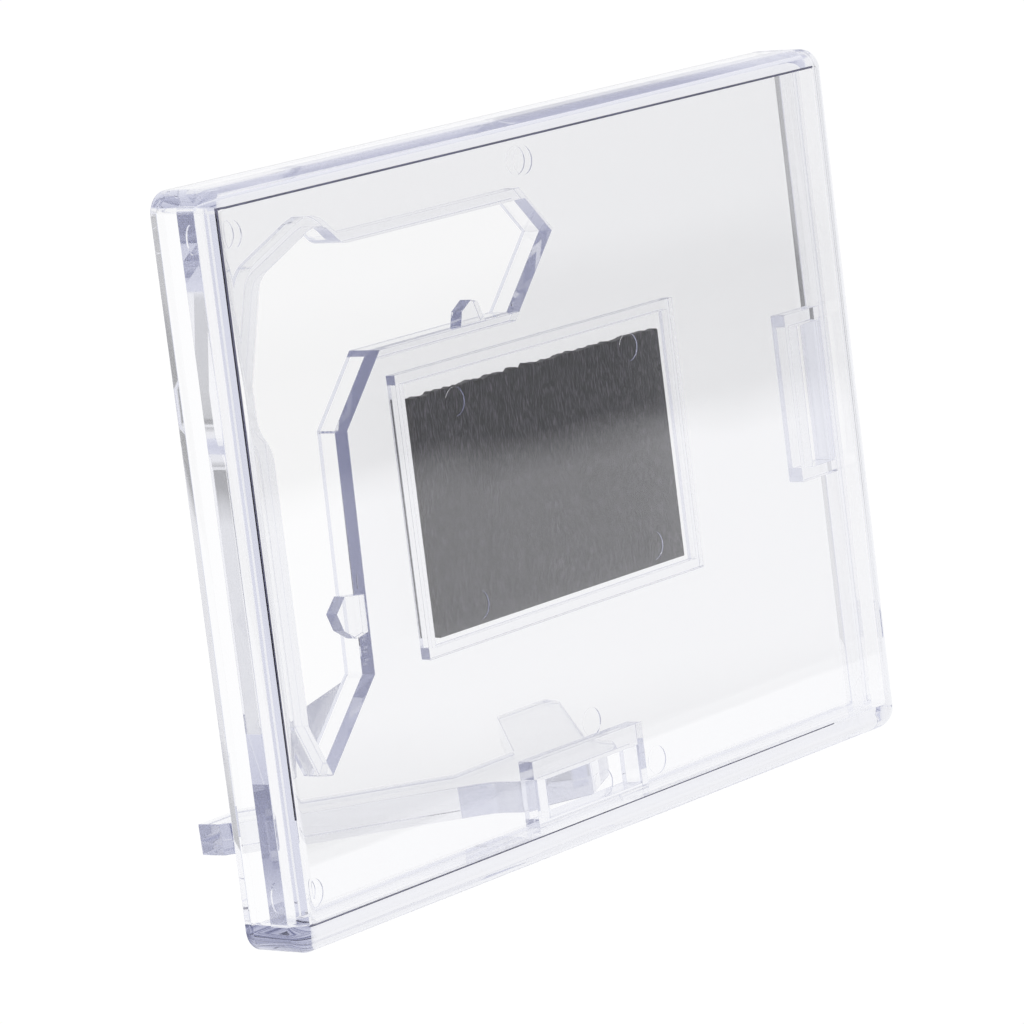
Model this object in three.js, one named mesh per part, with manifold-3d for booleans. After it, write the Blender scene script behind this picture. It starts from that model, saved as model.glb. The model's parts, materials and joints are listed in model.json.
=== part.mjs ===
// Clear magnetic photo stand: a shallow front shell, a snap-in back plate with a bonded magnet
// sheet, and the boomerang leg that snaps out of the plate and plugs into either of its two sockets.
// Units are millimetres, +Z is up, +X is to the viewer's right and +Y points away from the viewer.
import * as THREE from "three";
import { mergeVertices } from "three/addons/utils/BufferGeometryUtils.js";
import Module from "manifold-3d";

const wasm = await Module();
wasm.setup();

// ---- Driving dimensions -------------------------------------------------------------------
const FRAME_WIDTH = 94.5;
const FRAME_HEIGHT = 70.65;
const FRAME_DEPTH = 7.2;
const WALL = 1.9;
const LOWER_WALL = 2.55;
const FRONT_SHEET = 1;
const CORNER_RADIUS = 2.2;
const EDGE_ROUND = 2;

const FIT_GAP = 0.3;
const PHOTO_GAP = 1.8;
const PLATE_THICKNESS = 2;
const RIM_HEIGHT = 1.75;
const CUTOUT_RIM_WIDTH = 0.95;

const POCKET_WIDTH = 42.8;
const POCKET_HEIGHT = 27.2;
const POCKET_RIB_WIDTH = 1;
const POCKET_RIB_HEIGHT = 1.1;
const MAGNET_WIDTH = 38.1;
const MAGNET_HEIGHT = 23.2;
const MAGNET_THICKNESS = 0.9;
const MAGNET_SHIFT = -0.45;

const SOCKET_LENGTH = 17.2;
const LOWER_SOCKET_REACH = 6.5;
const SIDE_SOCKET_REACH = 6.0;
const SOCKET_WALL = 1.3;
const SLOT_IN = 0.65;
const SLOT_HEIGHT = 3.9;
const SLOT_FLOOR = 1.2;

const LEG_THICKNESS = 3.1;
const GATE_GAP = 1.5;
const END_GAP = 1.25;
const LEG_MIDDLE = 15.2;
const LEG_DROOP = THREE.MathUtils.degToRad(2);
const NIB_THICKNESS = 1.4;

const PLATE_FRONT = FRONT_SHEET + PHOTO_GAP;
const PLATE_BACK = PLATE_FRONT + PLATE_THICKNESS;
const RIM_BACK = PLATE_BACK + RIM_HEIGHT;
// Heights count from a datum 0.65 mm above the shell's lower edge, and the opening's middle is at 35.
const MID_HEIGHT = 35;
const INNER_WIDTH = FRAME_WIDTH - 2 * WALL;
const INNER_HEIGHT = FRAME_HEIGHT - WALL - LOWER_WALL;
const PLATE_WIDTH = INNER_WIDTH - 2 * FIT_GAP;
const PLATE_HEIGHT = INNER_HEIGHT - 2 * FIT_GAP;

const CLEAR_PLASTIC = { color: 0xe9e9f4, roughness: 0.03, metalness: 0 };
const MAGNET_RUBBER = { color: 0x39373c, roughness: 0.5, metalness: 0 };

// ---- Solid helpers ------------------------------------------------------------------------
function toSolid(geometry) {
  const bare = geometry.clone();
  bare.deleteAttribute("normal");
  bare.deleteAttribute("uv");
  const merged = mergeVertices(bare, 1e-4);
  const vertProperties = new Float32Array(merged.attributes.position.array);
  const triVerts = new Uint32Array(merged.index.array);
  return new wasm.Manifold(new wasm.Mesh({ numProp: 3, vertProperties, triVerts }));
}

function toMesh(name, solid, look) {
  const result = solid.getMesh();
  const geometry = new THREE.BufferGeometry();
  geometry.setAttribute("position", new THREE.BufferAttribute(result.vertProperties, 3));
  geometry.setIndex(new THREE.BufferAttribute(result.triVerts, 1));
  geometry.computeVertexNormals();
  const mesh = new THREE.Mesh(geometry, new THREE.MeshStandardMaterial(look));
  mesh.name = name;
  return mesh;
}

// A slab whose outline lies in the frame's face (X across, Z up) and whose thickness runs back in Y.
function slab(shape, front, back, bevel = 0) {
  const geometry = new THREE.ExtrudeGeometry(shape, {
    depth: back - front - 2 * bevel,
    bevelEnabled: bevel > 0,
    bevelSize: bevel,
    bevelThickness: bevel,
    bevelOffset: -bevel,
    bevelSegments: 5,
    curveSegments: 8,
  });
  geometry.translate(0, 0, bevel);
  geometry.rotateX(Math.PI / 2);
  geometry.scale(1, -1, 1);
  geometry.translate(0, front, 0);
  flipFaces(geometry);
  return toSolid(geometry);
}

// Mirroring turns the faces inside out, so each triangle's corner order is reversed.
function flipFaces(geometry) {
  const position = geometry.attributes.position;
  const corner = new THREE.Vector3();
  const other = new THREE.Vector3();
  for (let i = 0; i < position.count; i += 3) {
    corner.fromBufferAttribute(position, i + 1);
    other.fromBufferAttribute(position, i + 2);
    position.setXYZ(i + 1, other.x, other.y, other.z);
    position.setXYZ(i + 2, corner.x, corner.y, corner.z);
  }
}

function rectangle(width, height, centreX, centreZ, radius = 0) {
  const left = centreX - width / 2;
  const right = centreX + width / 2;
  const low = centreZ - height / 2;
  const high = centreZ + height / 2;
  const shape = new THREE.Shape();
  shape.moveTo(left + radius, low);
  shape.lineTo(right - radius, low);
  if (radius > 0) shape.absarc(right - radius, low + radius, radius, -Math.PI / 2, 0);
  shape.lineTo(right, high - radius);
  if (radius > 0) shape.absarc(right - radius, high - radius, radius, 0, Math.PI / 2);
  shape.lineTo(left + radius, high);
  if (radius > 0) shape.absarc(left + radius, high - radius, radius, Math.PI / 2, Math.PI);
  shape.lineTo(left, low + radius);
  if (radius > 0) shape.absarc(left + radius, low + radius, radius, Math.PI, Math.PI * 1.5);
  return shape;
}

// ---- The boomerang outline ----------------------------------------------------------------
// Across from the middle and up from the datum. The elbow is at the upper left, with a proud nose
// between two S-shaped steps, and both arms end in a 45 degree cut.
function boomerangOutline() {
  const shape = new THREE.Shape();
  shape.moveTo(-0.4, 62);
  shape.lineTo(-26.4, 62);
  shape.bezierCurveTo(-28.4, 62, -28.4, 64.2, -30.8, 64.2);
  shape.lineTo(-31.8, 63.9);
  shape.lineTo(-38.2, 61.2);
  shape.quadraticCurveTo(-39.2, 60.6, -39.5, 59.6);
  shape.lineTo(-42, 51.4);
  shape.lineTo(-42, 48.4);
  shape.bezierCurveTo(-42, 46.4, -40.4, 46.2, -40.4, 44);
  shape.lineTo(-40.4, 19.4);
  shape.lineTo(-38, 14.3);
  shape.lineTo(-30.5, 22.1);
  shape.lineTo(-30, 45);
  shape.lineTo(-24.1, 51.5);
  shape.lineTo(-3.3, 51.5);
  shape.lineTo(3, 58.3);
  return cleanPoints(shape.getPoints(5));
}

function cleanPoints(points) {
  return points.filter((point, i) => point.distanceTo(points[(i + 1) % points.length]) > 0.05);
}

// Moves every edge of a counter-clockwise outline inwards by distance, or outwards if negative.
function inset(points, distance) {
  const count = points.length;
  return points.map((point, i) => {
    const before = points[(i + count - 1) % count];
    const after = points[(i + 1) % count];
    const edgeIn = point.clone().sub(before).normalize();
    const edgeOut = after.clone().sub(point).normalize();
    const normalIn = new THREE.Vector2(-edgeIn.y, edgeIn.x);
    const normalOut = new THREE.Vector2(-edgeOut.y, edgeOut.x);
    const mitre = normalIn.clone().add(normalOut);
    mitre.multiplyScalar(distance / (1 + normalIn.dot(normalOut)));
    return point.clone().add(mitre);
  });
}

// The sharp lower tip is cut square, so that the rim round it doesn't run out to a spike.
function bluntTip(points) {
  const lowest = points.reduce((a, b) => (b.y < a.y ? b : a));
  const i = points.indexOf(lowest);
  const before = points[i - 1].clone().sub(lowest).setLength(1).add(lowest);
  const after = points[i + 1].clone().sub(lowest).setLength(1).add(lowest);
  return [...points.slice(0, i), before, after, ...points.slice(i + 1)];
}

// The leg lost a little at the ends of both arms when it was snapped out.
function shortenArms(points) {
  return points.map((p) => {
    if (p.x > -10) return new THREE.Vector2(p.x - END_GAP, p.y);
    if (p.y < 30) return new THREE.Vector2(p.x, p.y + END_GAP);
    return p;
  });
}

// ---- Front shell --------------------------------------------------------------------------
function frontShell() {
  const middle = MID_HEIGHT + (WALL - LOWER_WALL) / 2;
  const outer = rectangle(FRAME_WIDTH, FRAME_HEIGHT, 0, middle, CORNER_RADIUS);
  const inner = rectangle(INNER_WIDTH, INNER_HEIGHT, 0, MID_HEIGHT);
  const spare = 2 * EDGE_ROUND;
  const beyond = rectangle(FRAME_WIDTH + spare, FRAME_HEIGHT + spare, 0, MID_HEIGHT);
  return slab(outer, 0, FRAME_DEPTH + spare, EDGE_ROUND)
    .subtract(slab(inner, FRONT_SHEET, FRAME_DEPTH + spare))
    .subtract(slab(beyond, FRAME_DEPTH, FRAME_DEPTH + 2 * spare));
}

// ---- Back plate ---------------------------------------------------------------------------
function ring(outerShape, innerShape, front, back) {
  return slab(outerShape, front, back).subtract(slab(innerShape, front - 1, back + 1));
}

// A socket is made as if its plate edge ran along x at height 0, then set on the plate's edge. The
// boss stands on the plate's back, and its slot is blind, so the plate's front stays unbroken.
function socketBoss(reach) {
  const shape = rectangle(SOCKET_LENGTH, reach - 0.1, 0, (reach + 0.1) / 2);
  return slab(shape, PLATE_BACK - 0.5, RIM_BACK);
}

function socketSlot() {
  const width = SOCKET_LENGTH - 2 * SOCKET_WALL;
  const shape = rectangle(width, SLOT_HEIGHT, 0, SLOT_IN + SLOT_HEIGHT / 2);
  return slab(shape, PLATE_FRONT + SLOT_FLOOR, RIM_BACK + 1);
}

function toLowerEdge(solid) {
  return solid.translate([0, 0, MID_HEIGHT - PLATE_HEIGHT / 2]);
}

function toRightEdge(solid) {
  const sideways = new THREE.Matrix4()
    .makeTranslation(PLATE_WIDTH / 2, 0, MID_HEIGHT)
    .multiply(new THREE.Matrix4().makeRotationY(-Math.PI / 2));
  return solid.transform(sideways.elements);
}

function nib(points) {
  return slab(new THREE.Shape(points), PLATE_FRONT + 0.2, PLATE_FRONT + 0.2 + NIB_THICKNESS);
}

function gateNibs() {
  const upper = [[-11.9, 51.2], [-8, 51.2], [-8.9, 53.5], [-9.9, 53.8], [-11.4, 52.9]];
  const lower = [[-29.9, 26.2], [-29.9, 29.6], [-33, 30], [-34.4, 28.6], [-33.7, 26.9], [-32, 25.8]];
  const toVectors = (pairs) => pairs.map(([x, z]) => new THREE.Vector2(x, z));
  return nib(toVectors(upper)).add(nib(toVectors(lower)));
}

function backPlate(cutout) {
  const edge = rectangle(PLATE_WIDTH, PLATE_HEIGHT, 0, MID_HEIGHT);
  const ribTrim = 2 * POCKET_RIB_WIDTH;
  const pocket = rectangle(POCKET_WIDTH, POCKET_HEIGHT, 0, MID_HEIGHT);
  const insidePocket = rectangle(POCKET_WIDTH - ribTrim, POCKET_HEIGHT - ribTrim, 0, MID_HEIGHT);
  const cutoutRim = new THREE.Shape(inset(bluntTip(cutout), -CUTOUT_RIM_WIDTH));
  const overlap = PLATE_BACK - 0.5;
  return slab(edge, PLATE_FRONT, PLATE_BACK)
    .add(ring(pocket, insidePocket, overlap, PLATE_BACK + POCKET_RIB_HEIGHT))
    .add(slab(cutoutRim, overlap, RIM_BACK))
    .add(toLowerEdge(socketBoss(LOWER_SOCKET_REACH)))
    .add(toRightEdge(socketBoss(SIDE_SOCKET_REACH)))
    .subtract(toLowerEdge(socketSlot()))
    .subtract(toRightEdge(socketSlot()))
    .subtract(slab(new THREE.Shape(cutout), PLATE_FRONT - 1, RIM_BACK + 1))
    .add(gateNibs());
}

function magnetSheet() {
  const pocketBottom = MID_HEIGHT - POCKET_HEIGHT / 2 + POCKET_RIB_WIDTH;
  const centreZ = pocketBottom + 0.9 + MAGNET_HEIGHT / 2;
  const shape = rectangle(MAGNET_WIDTH, MAGNET_HEIGHT, MAGNET_SHIFT, centreZ);
  const front = PLATE_BACK + FIT_GAP;
  return slab(shape, front, front + MAGNET_THICKNESS);
}

// ---- Stand leg ----------------------------------------------------------------------------
// The leg lies flat with its nose in the lower socket. Its outline is turned so that the line
// halfway between its arms points straight back, the nose first.
function standLeg(outline) {
  const across = new THREE.Vector2(1, 1).normalize();
  const back = new THREE.Vector2(1, -1).normalize();
  const turned = outline.map((p) => new THREE.Vector2(LEG_MIDDLE - p.dot(across), p.dot(back)));
  const noseDepth = Math.min(...turned.map((p) => p.y));
  const placed = turned.map((p) => new THREE.Vector2(p.x, p.y - noseDepth));
  const geometry = new THREE.ExtrudeGeometry(new THREE.Shape(placed), {
    depth: LEG_THICKNESS,
    bevelEnabled: false,
  });
  geometry.translate(0, 0, -LEG_THICKNESS / 2);
  return toSolid(geometry);
}

// ---- Assembly -----------------------------------------------------------------------------
const cutout = boomerangOutline();
const upright = new THREE.Group();
upright.add(toMesh("front_shell", frontShell(), CLEAR_PLASTIC));
upright.add(toMesh("back_plate", backPlate(cutout), CLEAR_PLASTIC));
upright.add(toMesh("magnet_sheet", magnetSheet(), MAGNET_RUBBER));

const leg = toMesh("stand_leg", standLeg(inset(shortenArms(cutout), GATE_GAP)), CLEAR_PLASTIC);
const slotMiddle = MID_HEIGHT - PLATE_HEIGHT / 2 + SLOT_IN + SLOT_HEIGHT / 2;
leg.position.set(0, PLATE_FRONT + SLOT_FLOOR + FIT_GAP, slotMiddle);
leg.rotation.x = -LEG_DROOP;
upright.add(leg);

// The frame leans back until its lower back edge and the leg's far lower edge share one level.
upright.updateMatrixWorld(true);
const legBox = new THREE.Box3().setFromObject(leg, true);
const heelHeight = WALL - LOWER_WALL;
const lean = Math.atan2(legBox.min.z - heelHeight, legBox.max.y - FRAME_DEPTH);
upright.rotation.x = -lean;

// The origin is at the middle of the footprint, on the surface that the object stands on.
const assembly = new THREE.Group();
assembly.add(upright);
assembly.updateMatrixWorld(true);
const whole = new THREE.Box3().setFromObject(assembly, true);
const middle = whole.getCenter(new THREE.Vector3());
upright.position.set(-middle.x, -middle.y, -whole.min.z);
assembly.updateMatrixWorld(true);

export default assembly;
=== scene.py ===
"""Looks for the clear magnetic photo stand: polished clear polystyrene around a black magnet sheet.

Pieces are built in millimetres in the upright frame (x across, y back from the front sheet, z up from
a datum 0.65 mm above the shell's lower edge), then carried into the row frame, which leans back, in
metres.
"""

import json
import math

import bmesh
import bpy
from mathutils import Euler, Matrix, Vector, noise


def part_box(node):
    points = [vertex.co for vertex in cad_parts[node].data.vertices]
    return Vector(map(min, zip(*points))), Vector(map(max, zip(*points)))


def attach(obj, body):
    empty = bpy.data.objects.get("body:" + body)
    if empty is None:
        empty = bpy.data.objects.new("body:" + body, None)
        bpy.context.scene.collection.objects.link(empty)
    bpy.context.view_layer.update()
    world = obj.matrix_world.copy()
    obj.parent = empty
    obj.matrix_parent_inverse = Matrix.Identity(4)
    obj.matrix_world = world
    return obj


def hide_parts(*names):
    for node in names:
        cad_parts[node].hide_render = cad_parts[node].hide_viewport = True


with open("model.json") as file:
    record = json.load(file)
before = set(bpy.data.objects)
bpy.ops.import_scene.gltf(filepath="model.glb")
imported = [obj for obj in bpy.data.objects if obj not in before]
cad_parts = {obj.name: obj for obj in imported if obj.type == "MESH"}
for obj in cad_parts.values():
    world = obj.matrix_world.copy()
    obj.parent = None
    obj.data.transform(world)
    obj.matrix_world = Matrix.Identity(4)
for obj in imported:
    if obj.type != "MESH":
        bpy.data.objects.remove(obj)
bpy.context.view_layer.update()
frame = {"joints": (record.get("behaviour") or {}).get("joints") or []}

# ---- Sizes, in millimetres ----------------------------------------------------------------------
WIDTH, HEIGHT, DEPTH = 94.5, 70.65, 7.2
WALL, LOWER_WALL, SHEET = 1.9, 2.55, 1.0
CORNER, EDGE_ROUND = 2.2, 2.0
MID = 35.0  # height of the opening's middle above the datum
SHELL_MID = MID + (WALL - LOWER_WALL) / 2
SHELL_TOP, SHELL_LOW = SHELL_MID + HEIGHT / 2, SHELL_MID - HEIGHT / 2
PLATE_FRONT, PLATE_BACK, RIM_BACK = 2.8, 4.8, 6.55
PLATE_GAP = -0.04  # the plate runs a little way into the walls, so that no gap shows
PLATE_W = WIDTH - 2 * (WALL + PLATE_GAP)
PLATE_H = HEIGHT - WALL - LOWER_WALL - 2 * PLATE_GAP
PLATE_LOW = MID - PLATE_H / 2
CUTOUT_RIM = 0.95
POCKET_W, POCKET_H, POCKET_RIB, POCKET_RISE = 42.8, 27.2, 1.0, 1.1
SOCKET_LENGTH, SOCKET_WALL = 17.2, 1.3
LOWER_REACH, SIDE_REACH = 6.6, 6.1
SLOT_IN, SLOT_HEIGHT, SLOT_FLOOR = 0.75, 3.9, 1.2
LEG_THICKNESS, LEG_INSET, LEG_MIDDLE, END_GAP = 3.1, 1.5, 15.2, 1.25
LEG_NOSE = (0.0, 4.3, 4.8)
LEG_DROOP = math.radians(2)
SEAM, SEAM_DEPTH = 0.1, 0.25
SHELL_STEPS = 12  # points in each of the shell's round corners
EDGE_STEPS = 10  # rings in the round of its front edge
INNER_CORNER, INNER_EASE = 0.4, 0.12
OVERLAP = 0.4  # how far ribs and rims reach into the plate, so that they join it
CLEAR = 1  # how far a cutting tool runs past the faces that it cuts
NIB_FRONT, NIB_BACK = 0.25, 1.6
MAGNET_LEFT, MAGNET_RIGHT, MAGNET_LOW, MAGNET_TOP = -19.5, 18.6, 23.1, 46.3
MAGNET_STEPS = 150  # points along its torn upper edge
MAGNET_ROUGH = 0.3

# ---- The upright frame's place in the row frame --------------------------------------------------
axis = Vector(frame["joints"][0]["axis"])
lean = math.atan2(-axis.z, axis.y)
low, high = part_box("front_shell")
sine, cosine = math.sin(lean), math.cos(lean)
offset = Vector(
    (
        0,
        high.y - (DEPTH * cosine + SHELL_TOP * sine) / 1000,
        low.z + (DEPTH * sine - SHELL_LOW * cosine) / 1000,
    )
)
UPRIGHT = Matrix.Translation(offset) @ Matrix.Rotation(-lean, 4, "X") @ Matrix.Scale(0.001, 4)


# ---- Mesh helpers -------------------------------------------------------------------------------
def new_object(name, bm):
    bmesh.ops.recalc_face_normals(bm, faces=bm.faces)
    mesh = bpy.data.meshes.new(name)
    bm.to_mesh(mesh)
    bm.free()
    obj = bpy.data.objects.new(name, mesh)
    bpy.context.scene.collection.objects.link(obj)
    return obj


def prism(loop, start, end, name="tool"):
    """A slab with this outline in x and z, from depth start to depth end."""
    bm = bmesh.new()
    front = [bm.verts.new((x, start, z)) for x, z in loop]
    back = [bm.verts.new((x, end, z)) for x, z in loop]
    bm.faces.new(front)
    bm.faces.new(back[::-1])
    count = len(loop)
    for i in range(count):
        j = (i + 1) % count
        bm.faces.new((front[j], front[i], back[i], back[j]))
    return new_object(name, bm)


def apply_modifiers(obj):
    bpy.context.view_layer.update()
    evaluated = obj.evaluated_get(bpy.context.evaluated_depsgraph_get())
    mesh = bpy.data.meshes.new_from_object(evaluated)
    old = obj.data
    obj.modifiers.clear()
    obj.data = mesh
    bpy.data.meshes.remove(old)
    return obj


def combine(base, operation, *tools):
    for tool in tools:
        modifier = base.modifiers.new("cut", "BOOLEAN")
        modifier.operation = operation
        modifier.solver = "EXACT"
        modifier.object = tool
        apply_modifiers(base)
        mesh = tool.data
        bpy.data.objects.remove(tool)
        bpy.data.meshes.remove(mesh)
    return base


def rectangle(width, height, x=0.0, z=MID):
    w, h = width / 2, height / 2
    return [(x - w, z - h), (x + w, z - h), (x + w, z + h), (x - w, z + h)]


def rounded(width, height, radius, steps, x=0.0, z=MID):
    loop = []
    for i, (sx, sz) in enumerate(((1, -1), (1, 1), (-1, 1), (-1, -1))):
        cx = x + sx * (width / 2 - radius)
        cz = z + sz * (height / 2 - radius)
        for s in range(steps + 1):
            angle = math.radians(-90 + 90 * i + 90 * s / steps)
            loop.append((cx + radius * math.cos(angle), cz + radius * math.sin(angle)))
    return loop


def bezier(p0, p1, p2, p3, steps):
    points = []
    for i in range(1, steps + 1):
        t = i / steps
        a, b, c, d = (1 - t) ** 3, 3 * t * (1 - t) ** 2, 3 * t * t * (1 - t), t**3
        points.append(tuple(a * p + b * q + c * r + d * s for p, q, r, s in zip(p0, p1, p2, p3)))
    return points


def cutout_outline(steps=8):
    """The boomerang that the leg was snapped out of: elbow at the upper left, a proud nose on it."""
    loop = [(-0.4, 62), (-26.4, 62)]
    loop += bezier((-26.4, 62), (-28.4, 62), (-28.4, 64.2), (-30.8, 64.2), steps)
    loop += [(-31.8, 63.9), (-38.2, 61.2)]
    loop += bezier((-38.2, 61.2), (-38.9, 60.8), (-39.3, 60.3), (-39.5, 59.6), 4)
    loop += [(-42, 51.4), (-42, 48.4)]
    loop += bezier((-42, 48.4), (-42, 46.4), (-40.4, 46.2), (-40.4, 44), steps)
    loop += [(-40.4, 19.4), (-38, 14.3), (-30.5, 22.1), (-30, 45), (-24.1, 51.5)]
    loop += [(-3.3, 51.5), (3, 58.3)]
    return loop


def blunt_tip(loop):
    """The sharp lower tip cut square, so that the rim round it doesn't run out to a spike."""
    i = min(range(len(loop)), key=lambda n: loop[n][1])
    tip = Vector(loop[i])
    before = tip + (Vector(loop[i - 1]) - tip).normalized()
    after = tip + (Vector(loop[i + 1]) - tip).normalized()
    return loop[:i] + [tuple(before), tuple(after)] + loop[i + 1 :]


def shorten_arms(loop):
    moved = []
    for x, z in loop:
        moved.append((x - END_GAP, z) if x > -10 else (x, z + END_GAP) if z < 30 else (x, z))
    return moved


def inset(loop, distance):
    points = [Vector(p) for p in loop]
    count = len(points)
    moved = []
    for i, p in enumerate(points):
        e0 = (p - points[i - 1]).normalized()
        e1 = (points[(i + 1) % count] - p).normalized()
        n0, n1 = Vector((-e0.y, e0.x)), Vector((-e1.y, e1.x))
        moved.append(tuple(p + (n0 + n1) * (distance / (1 + n0.dot(n1)))))
    return moved


def finish_piece(obj, node, body, material, bevel=0.1, marks=()):
    """Rounds the edges a little, carries the piece into the row frame and hands it to its body."""
    if bevel:
        edge = obj.modifiers.new("edges", "BEVEL")
        edge.width = bevel
        edge.segments = 2
        edge.limit_method = "ANGLE"
        edge.angle_limit = math.radians(24)
        apply_modifiers(obj)
    for mark in marks:
        combine(obj, "DIFFERENCE", mark)
    obj.data.transform(UPRIGHT)
    obj.data.polygons.foreach_set("use_smooth", [True] * len(obj.data.polygons))
    obj.data.set_sharp_from_angle(angle=math.radians(38))
    normals = obj.modifiers.new("normals", "WEIGHTED_NORMAL")
    normals.keep_sharp = True
    normals.weight = 80
    obj.data.materials.clear()
    obj.data.materials.append(material)
    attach(obj, body)
    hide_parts(node)
    return obj


# ---- Materials ----------------------------------------------------------------------------------
# Painted light: a ray that has met more faces than this ends in a flat pale violet glow, standing in
# for the light that more bounces would bring, and isn't traced any further.
SHELL_FACES, PLATE_FACES = 6, 16
SHELL_TONER, PLATE_TONER, LEG_TONER = 18, 23, 12  # absorption densities
POLYSTYRENE_IOR = 1.59
TONER_COLOR = (0.09, 0.12, 0.386, 1)
PAINTED_TRAPPED_GLOW = (0.87, 0.88, 0.95, 1)
STREAK_SCALE = (8000, 8000, 900)


def nodes_of(name):
    material = bpy.data.materials.new(name)
    material.use_nodes = True
    tree = material.node_tree
    tree.nodes.clear()
    return material, tree


def link(tree, source, output, target, socket):
    tree.links.new(source.outputs[output], target.inputs[socket])


def clear_plastic(name, most_faces, density, waviness=0.02):
    """Polystyrene with a violet toner that shows where light runs a long way inside a piece."""
    material, tree = nodes_of(name)
    output = tree.nodes.new("ShaderNodeOutputMaterial")
    shader = tree.nodes.new("ShaderNodeBsdfPrincipled")
    shader.inputs["Base Color"].default_value = (1, 1, 1, 1)
    shader.inputs["Transmission Weight"].default_value = 1
    shader.inputs["IOR"].default_value = POLYSTYRENE_IOR
    shader.inputs["Roughness"].default_value = 0.0
    absorb = tree.nodes.new("ShaderNodeVolumeAbsorption")
    absorb.inputs["Color"].default_value = TONER_COLOR
    absorb.inputs["Density"].default_value = density
    coords = tree.nodes.new("ShaderNodeTexCoord")
    flow = tree.nodes.new("ShaderNodeTexNoise")
    flow.inputs["Scale"].default_value = 60
    flow.inputs["Detail"].default_value = 1
    bump = tree.nodes.new("ShaderNodeBump")
    bump.inputs["Strength"].default_value = waviness
    bump.inputs["Distance"].default_value = 0.001
    link(tree, coords, "Object", flow, "Vector")
    link(tree, flow, "Fac", bump, "Height")
    path = tree.nodes.new("ShaderNodeLightPath")
    trapped = tree.nodes.new("ShaderNodeMath")
    trapped.operation = "GREATER_THAN"
    trapped.inputs[1].default_value = most_faces
    # Painted light: past the face limit the plastic glows a flat pale violet in place of the light
    # that further tracing would bring.
    glow = tree.nodes.new("ShaderNodeEmission")
    glow.inputs["Color"].default_value = PAINTED_TRAPPED_GLOW
    mix = tree.nodes.new("ShaderNodeMixShader")
    link(tree, bump, "Normal", shader, "Normal")
    link(tree, path, "Ray Depth", trapped, "Value")
    link(tree, trapped, "Value", mix, "Fac")
    tree.links.new(shader.outputs["BSDF"], mix.inputs[1])
    tree.links.new(glow.outputs["Emission"], mix.inputs[2])
    link(tree, mix, "Shader", output, "Surface")
    link(tree, absorb, "Volume", output, "Volume")
    return material


def magnet_rubber():
    """Black flexible magnet with fine upright streaks."""
    material, tree = nodes_of("magnet_rubber")
    output = tree.nodes.new("ShaderNodeOutputMaterial")
    shader = tree.nodes.new("ShaderNodeBsdfPrincipled")
    shader.inputs["Roughness"].default_value = 0.45
    shader.inputs["Specular IOR Level"].default_value = 0.25
    coords = tree.nodes.new("ShaderNodeTexCoord")
    stretch = tree.nodes.new("ShaderNodeMapping")
    stretch.inputs["Scale"].default_value = STREAK_SCALE
    streaks = tree.nodes.new("ShaderNodeTexNoise")
    streaks.inputs["Scale"].default_value = 1
    streaks.inputs["Detail"].default_value = 3
    ramp = tree.nodes.new("ShaderNodeValToRGB")
    ramp.color_ramp.elements[0].position = 0.5
    ramp.color_ramp.elements[0].color = (0.002, 0.001, 0.003, 1)
    ramp.color_ramp.elements[1].position = 0.68
    ramp.color_ramp.elements[1].color = (0.1, 0.09, 0.11, 1)
    bump = tree.nodes.new("ShaderNodeBump")
    bump.inputs["Strength"].default_value = 0.3
    bump.inputs["Distance"].default_value = 0.00005
    link(tree, coords, "Object", stretch, "Vector")
    link(tree, stretch, "Vector", streaks, "Vector")
    link(tree, streaks, "Fac", ramp, "Fac")
    link(tree, ramp, "Color", shader, "Base Color")
    link(tree, streaks, "Fac", bump, "Height")
    link(tree, bump, "Normal", shader, "Normal")
    link(tree, shader, "BSDF", output, "Surface")
    return material


def seam_shade():
    """Painted shadow: the uneven dark violet of the hairlines of shade in the shell's front corner."""
    material, tree = nodes_of("seam_shade")
    output = tree.nodes.new("ShaderNodeOutputMaterial")
    shader = tree.nodes.new("ShaderNodeBsdfPrincipled")
    shader.inputs["Roughness"].default_value = 0.6
    coords = tree.nodes.new("ShaderNodeTexCoord")
    patches = tree.nodes.new("ShaderNodeTexNoise")
    patches.inputs["Scale"].default_value = 90
    ramp = tree.nodes.new("ShaderNodeValToRGB")
    # Painted shadow: these dark violet tones stand in for the shade in the corner.
    ramp.color_ramp.elements[0].color = (0.03, 0.03, 0.07, 1)
    ramp.color_ramp.elements[1].color = (0.2, 0.2, 0.3, 1)
    link(tree, coords, "Object", patches, "Vector")
    link(tree, patches, "Fac", ramp, "Fac")
    link(tree, ramp, "Color", shader, "Base Color")
    link(tree, shader, "BSDF", output, "Surface")
    return material


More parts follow.
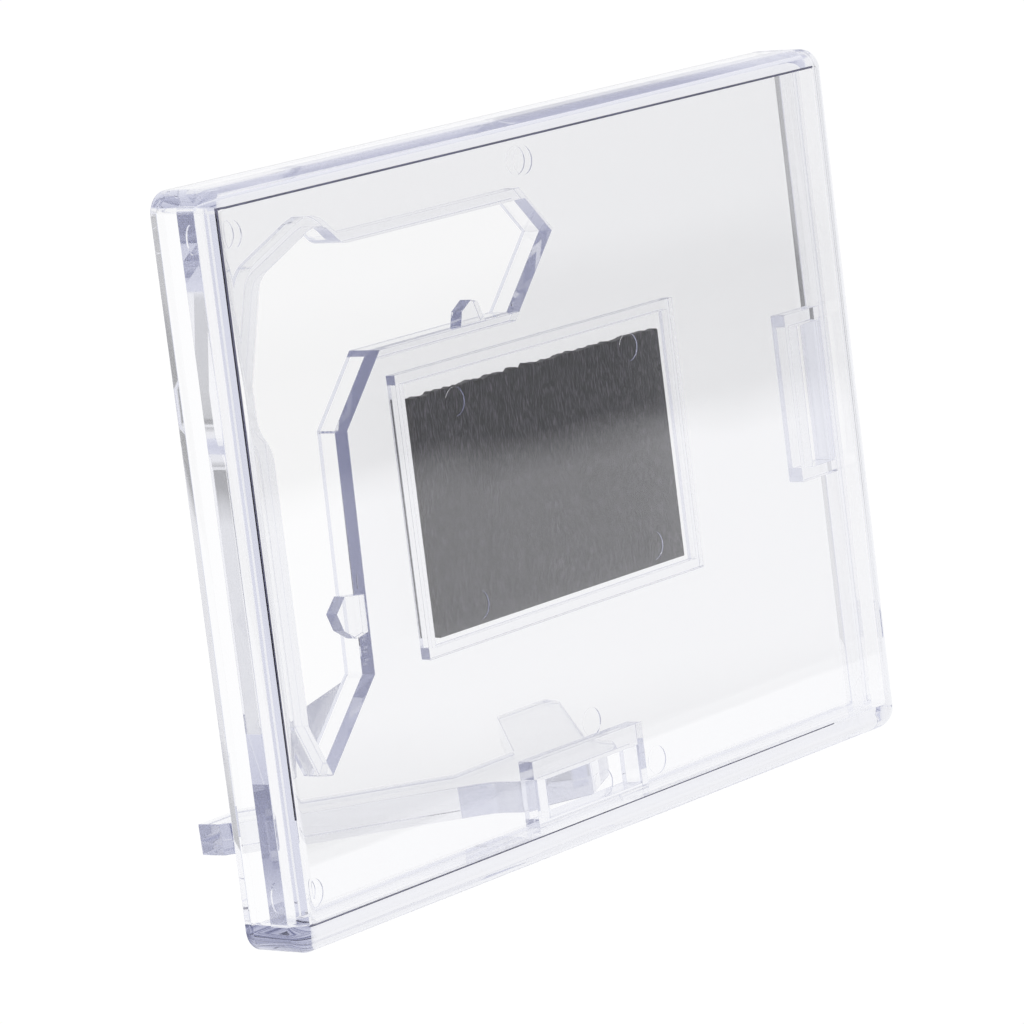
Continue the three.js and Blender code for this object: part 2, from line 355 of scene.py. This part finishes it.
# ---- Front shell --------------------------------------------------------------------------------
def front_shell():
    """Rings of points from the front sheet's rounded edge, back over the rim and down inside."""
    rings = []
    for s in range(EDGE_STEPS + 1):
        angle = math.radians(90 * s / EDGE_STEPS)
        pull = EDGE_ROUND * (1 - math.sin(angle))
        depth = EDGE_ROUND * (1 - math.cos(angle))
        loop = rounded(WIDTH - 2 * pull, HEIGHT - 2 * pull, CORNER - pull, SHELL_STEPS, 0, SHELL_MID)
        rings.append((depth, loop))
    for pull, depth in ((0, DEPTH - 0.15), (0.05, DEPTH - 0.04), (0.15, DEPTH)):
        loop = rounded(WIDTH - 2 * pull, HEIGHT - 2 * pull, CORNER - pull, SHELL_STEPS, 0, SHELL_MID)
        rings.append((depth, loop))
    inner_w, inner_h = WIDTH - 2 * WALL, HEIGHT - WALL - LOWER_WALL
    inside = (
        (INNER_EASE, DEPTH),
        (0, DEPTH - INNER_EASE),
        (0, SHEET + INNER_EASE),
        (-INNER_EASE, SHEET),
    )
    for grow, depth in inside:
        loop = rounded(inner_w + 2 * grow, inner_h + 2 * grow, INNER_CORNER + grow, SHELL_STEPS)
        rings.append((depth, loop))
    bm = bmesh.new()
    layers = [[bm.verts.new((x, y, z)) for x, z in loop] for y, loop in rings]
    for a, b in zip(layers, layers[1:]):
        for i in range(len(a)):
            j = (i + 1) % len(a)
            bm.faces.new((a[i], a[j], b[j], b[i]))
    bm.faces.new(layers[0])
    bm.faces.new(layers[-1])
    return new_object("clear_front_shell", bm)


def seam_shadows():
    """Dark slivers standing in for the shadow in the corner where the front sheet meets the walls.

    They run along the top, and taper off down the left wall and along the lower wall.
    """
    half = WIDTH / 2 - WALL
    low = SHELL_LOW + LOWER_WALL
    high = SHELL_TOP - WALL
    top = [(-half, high - SEAM), (half, high - SEAM), (half, high), (-half, high)]
    side = [(-half, low + 10), (-half + SEAM, high - SEAM / 2), (-half, high - SEAM / 2)]
    bottom = [(-half, low), (0.8 * half, low), (-half, low + SEAM)]
    lines = prism(top, SHEET, SHEET + SEAM_DEPTH)
    for loop in (side, bottom):
        combine(lines, "UNION", prism(loop, SHEET, SHEET + SEAM_DEPTH))
    # These slivers are painted shadow, a dark object standing in for the shade where the sheet meets
    # the walls.
    lines.name = "shell_seam_shadow"
    lines.data.transform(UPRIGHT)
    lines.data.materials.append(seam_shade())
    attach(lines, "shell")


# ---- Back plate ---------------------------------------------------------------------------------
def to_right_edge(obj):
    turn = Matrix.Translation((PLATE_W / 2, 0, MID)) @ Matrix.Rotation(math.radians(-90), 4, "Y")
    obj.data.transform(turn)
    return obj


def to_lower_edge(obj):
    obj.data.transform(Matrix.Translation((0, 0, PLATE_LOW)))
    return obj


def boss(reach):
    """The block round a leg socket, standing on the plate's edge."""
    loop = rectangle(SOCKET_LENGTH, reach - 0.1, 0, (reach + 0.1) / 2)
    return prism(loop, PLATE_BACK - OVERLAP, RIM_BACK)


def slot():
    loop = rectangle(SOCKET_LENGTH - 2 * SOCKET_WALL, SLOT_HEIGHT, 0, SLOT_IN + SLOT_HEIGHT / 2)
    return prism(loop, PLATE_FRONT + SLOT_FLOOR, RIM_BACK + CLEAR)


def ring(outer, inner, start, end):
    return combine(prism(outer, start, end), "DIFFERENCE", prism(inner, start - CLEAR, end + CLEAR))


def nib(loop):
    """What is left of a gate that held the leg in its cut-out."""
    return prism(loop, PLATE_FRONT + NIB_FRONT, PLATE_FRONT + NIB_BACK)


def back_plate():
    """The plate with its rims, ribs, sockets and nibs.

    Known fault: a doubled face without thickness is left across the cut-out's lower tip, at RIM_BACK.
    """
    cutout = cutout_outline()
    edge = rectangle(PLATE_W, PLATE_H)
    body = prism(edge, PLATE_FRONT, PLATE_BACK, "clear_back_plate")
    into = PLATE_BACK - OVERLAP
    pocket = rectangle(POCKET_W, POCKET_H)
    pocket_in = rectangle(POCKET_W - 2 * POCKET_RIB, POCKET_H - 2 * POCKET_RIB)
    combine(body, "UNION", ring(pocket, pocket_in, into, PLATE_BACK + POCKET_RISE))
    combine(body, "UNION", prism(inset(blunt_tip(cutout), -CUTOUT_RIM), into, RIM_BACK))
    combine(body, "UNION", to_lower_edge(boss(LOWER_REACH)), to_right_edge(boss(SIDE_REACH)))
    combine(body, "DIFFERENCE", to_lower_edge(slot()), to_right_edge(slot()))
    combine(body, "DIFFERENCE", prism(cutout, PLATE_FRONT - CLEAR, RIM_BACK + CLEAR))
    upper = [(-11.9, 51.2), (-8, 51.2), (-8.9, 53.5), (-9.9, 53.8), (-11.4, 52.9)]
    lower = [(-29.9, 26.2), (-29.9, 29.6), (-33, 30), (-34.4, 28.6), (-33.7, 26.9), (-32, 25.8)]
    combine(body, "UNION", nib(upper), nib(lower))
    return body


# Round marks of the mould's ejector pins, by x and z. The deep ones show on both faces.
PIN_RADIUS, PIN_DEPTH = 1.4, 0.1
PIN_ROUND = PIN_RADIUS * 0.999  # just under the radius, so that no two points of the circle meet
PIN_STEPS = 9
PIN_MARKS = (
    (0.7, 4.2),
    (0.0, 10.5),
    (9.3, 4.5),
    (44.2, 3.6),
    (-14.3, 44.8),
    (12.6, 45.2),
    (12.9, 25.3),
    (-14.4, 25.2),
)
DEEP_PIN_MARKS = ((-42.2, 65.3), (0.0, 65.6), (-42.8, 4.3))


def pin_marks():
    """Shallow discs that are cut from the plate's front face, and from its back face where deep."""
    marks = []
    for x, z in PIN_MARKS + DEEP_PIN_MARKS:
        circle = rounded(2 * PIN_RADIUS, 2 * PIN_RADIUS, PIN_ROUND, PIN_STEPS, x, z)
        marks.append(prism(circle, PLATE_FRONT - 0.5, PLATE_FRONT + PIN_DEPTH))
    for x, z in DEEP_PIN_MARKS:
        circle = rounded(2 * PIN_RADIUS, 2 * PIN_RADIUS, PIN_ROUND, PIN_STEPS, x, z)
        marks.append(prism(circle, PLATE_BACK - PIN_DEPTH, PLATE_BACK + 0.3))
    return marks


# ---- Magnet sheet -------------------------------------------------------------------------------
def magnet_sheet():
    """A plain rectangle but for its upper edge, which is torn."""
    loop = [(MAGNET_LEFT, MAGNET_LOW), (MAGNET_RIGHT, MAGNET_LOW)]
    for i in range(MAGNET_STEPS + 1):
        x = MAGNET_RIGHT + (MAGNET_LEFT - MAGNET_RIGHT) * i / MAGNET_STEPS
        rough = noise.fractal(Vector((x * 0.9, 3.1, 0)), 0.9, 2.0, 4) * MAGNET_ROUGH
        loop.append((x, MAGNET_TOP - 0.25 + rough))
    return prism(loop, PLATE_BACK + 0.02, PLATE_BACK + 0.92, "magnet")


# ---- Stand leg ----------------------------------------------------------------------------------
def stand_leg():
    """The cut-out's outline set in and turned by 45 degrees, nose first into the lower socket."""
    diagonal = math.sqrt(0.5)
    loop = []
    for x, z in inset(shorten_arms(cutout_outline()), LEG_INSET):
        loop.append((LEG_MIDDLE - (x + z) * diagonal, (x - z) * diagonal))
    nose = min(y for _, y in loop)
    bm = bmesh.new()
    base = [bm.verts.new((x, y - nose, -LEG_THICKNESS / 2)) for x, y in loop]
    top = [bm.verts.new((x, y - nose, LEG_THICKNESS / 2)) for x, y in loop]
    bm.faces.new(base[::-1])
    bm.faces.new(top)
    for i in range(len(loop)):
        j = (i + 1) % len(loop)
        bm.faces.new((base[i], base[j], top[j], top[i]))
    leg = new_object("clear_stand_leg", bm)
    leg.data.transform(Matrix.Translation(LEG_NOSE) @ Matrix.Rotation(-LEG_DROOP, 4, "X"))
    return leg


shell_plastic = clear_plastic("clear_shell_polystyrene", SHELL_FACES, SHELL_TONER)
plate_plastic = clear_plastic("clear_polystyrene", PLATE_FACES, PLATE_TONER)
leg_plastic = clear_plastic("clear_leg_polystyrene", PLATE_FACES, LEG_TONER)
rubber = magnet_rubber()
finish_piece(front_shell(), "front_shell", "shell", shell_plastic, 0)
seam_shadows()
finish_piece(back_plate(), "back_plate", "plate", plate_plastic, 0.14, pin_marks())
finish_piece(magnet_sheet(), "magnet_sheet", "plate", rubber, 0.05)
finish_piece(stand_leg(), "stand_leg", "leg", leg_plastic, 0.12)

# ---- Camera, floor and light --------------------------------------------------------------------
CAMERA_PLACE = (-423.52, -347.585, 119.366)  # millimetres, in the upright frame
CAMERA_TURN = (80.8867, 7.0123, -51.0237)  # degrees about x, y and z, in the upright frame
BACKGROUND_LEVEL = 1.02  # just past white, so that the ground stays clean

camera = bpy.data.objects.new("camera", bpy.data.cameras.new("camera"))
camera.data.sensor_width = 36
camera.data.lens = 202.6
camera.data.clip_start = 0.01
camera.location = UPRIGHT @ Vector(CAMERA_PLACE)
turn = Euler([math.radians(angle) for angle in CAMERA_TURN]).to_matrix()
camera.rotation_euler = (Matrix.Rotation(-lean, 3, "X") @ turn).to_euler()
bpy.context.scene.collection.objects.link(camera)
bpy.context.scene.camera = camera


def stage_floor():
    bm = bmesh.new()
    corners = ((-1.5, -0.06), (1.5, -0.06), (1.5, 2.0), (-1.5, 2.0))
    bm.faces.new([bm.verts.new((x, y, -0.0002)) for x, y in corners])
    floor = new_object("floor", bm)
    material, tree = nodes_of("white_floor")
    output = tree.nodes.new("ShaderNodeOutputMaterial")
    glow = tree.nodes.new("ShaderNodeEmission")
    glow.inputs["Strength"].default_value = BACKGROUND_LEVEL
    link(tree, glow, "Emission", output, "Surface")
    floor.data.materials.append(material)


# How bright the room in front of the frame is, by the sine of the height above the horizon. The levels
# were tuned, render by render, to the tones that the magnet sheet and the plate should reflect.
LOWEST_SINE = -0.25
FRONT_LIGHT = (
    (-0.25, 0.9),
    (-0.1518, 0.5),
    (-0.1413, 0.42),
    (-0.1308, 0.55),
    (-0.1188, 0.82),
    (-0.0808, 0.82),
    (-0.0743, 0.26),
    (-0.0528, 0.22),
    (-0.0438, 0.45),
    (-0.0088, 0.5),
    (0.087, 0.55),
    (0.5, 0.95),
)


def studio_world():
    """Even light from behind, FRONT_LIGHT in front, and plain white where the camera looks past."""
    world = bpy.data.worlds.new("studio")
    bpy.context.scene.world = world
    world.use_nodes = True
    tree = world.node_tree
    tree.nodes.clear()
    output = tree.nodes.new("ShaderNodeOutputWorld")
    background = tree.nodes.new("ShaderNodeBackground")
    coords = tree.nodes.new("ShaderNodeTexCoord")
    split = tree.nodes.new("ShaderNodeSeparateXYZ")
    rise = tree.nodes.new("ShaderNodeMapRange")
    rise.inputs["From Min"].default_value = LOWEST_SINE
    rise.inputs["From Max"].default_value = LOWEST_SINE + 1
    front = tree.nodes.new("ShaderNodeValToRGB")
    elements = front.color_ramp.elements
    while len(elements) > 1:
        elements.remove(elements[-1])
    for i, (height, level) in enumerate(FRONT_LIGHT):
        element = elements[0] if i == 0 else elements.new(height - LOWEST_SINE)
        element.position = height - LOWEST_SINE
        element.color = (level, level, level * 1.01, 1)
    behind = tree.nodes.new("ShaderNodeMapRange")
    behind.interpolation_type = "SMOOTHSTEP"
    behind.inputs["From Min"].default_value = -0.25
    behind.inputs["From Max"].default_value = 0.35
    around = tree.nodes.new("ShaderNodeMix")
    around.data_type = "RGBA"
    around.inputs["B"].default_value = (0.985, 0.985, 0.985, 1)
    path = tree.nodes.new("ShaderNodeLightPath")
    mix = tree.nodes.new("ShaderNodeMix")
    mix.data_type = "RGBA"
    mix.inputs["B"].default_value = (BACKGROUND_LEVEL, BACKGROUND_LEVEL, BACKGROUND_LEVEL, 1)
    link(tree, coords, "Generated", split, "Vector")
    link(tree, split, "Z", rise, "Value")
    link(tree, split, "Y", behind, "Value")
    link(tree, rise, "Result", front, "Fac")
    link(tree, behind, "Result", around, "Factor")
    link(tree, front, "Color", around, "A")
    link(tree, path, "Is Camera Ray", mix, "Factor")
    link(tree, around, "Result", mix, "A")
    link(tree, mix, "Result", background, "Color")
    link(tree, background, "Background", output, "Surface")


stage_floor()
studio_world()

scene = bpy.context.scene
scene.view_settings.view_transform = "Standard"
scene.cycles.max_bounces = 40
scene.cycles.transmission_bounces = 40
scene.cycles.glossy_bounces = 40
scene.cycles.transparent_max_bounces = 16
scene.cycles.caustics_reflective = True
scene.cycles.caustics_refractive = True
scene.cycles.blur_glossy = 0
scene.cycles.sample_clamp_indirect = 0
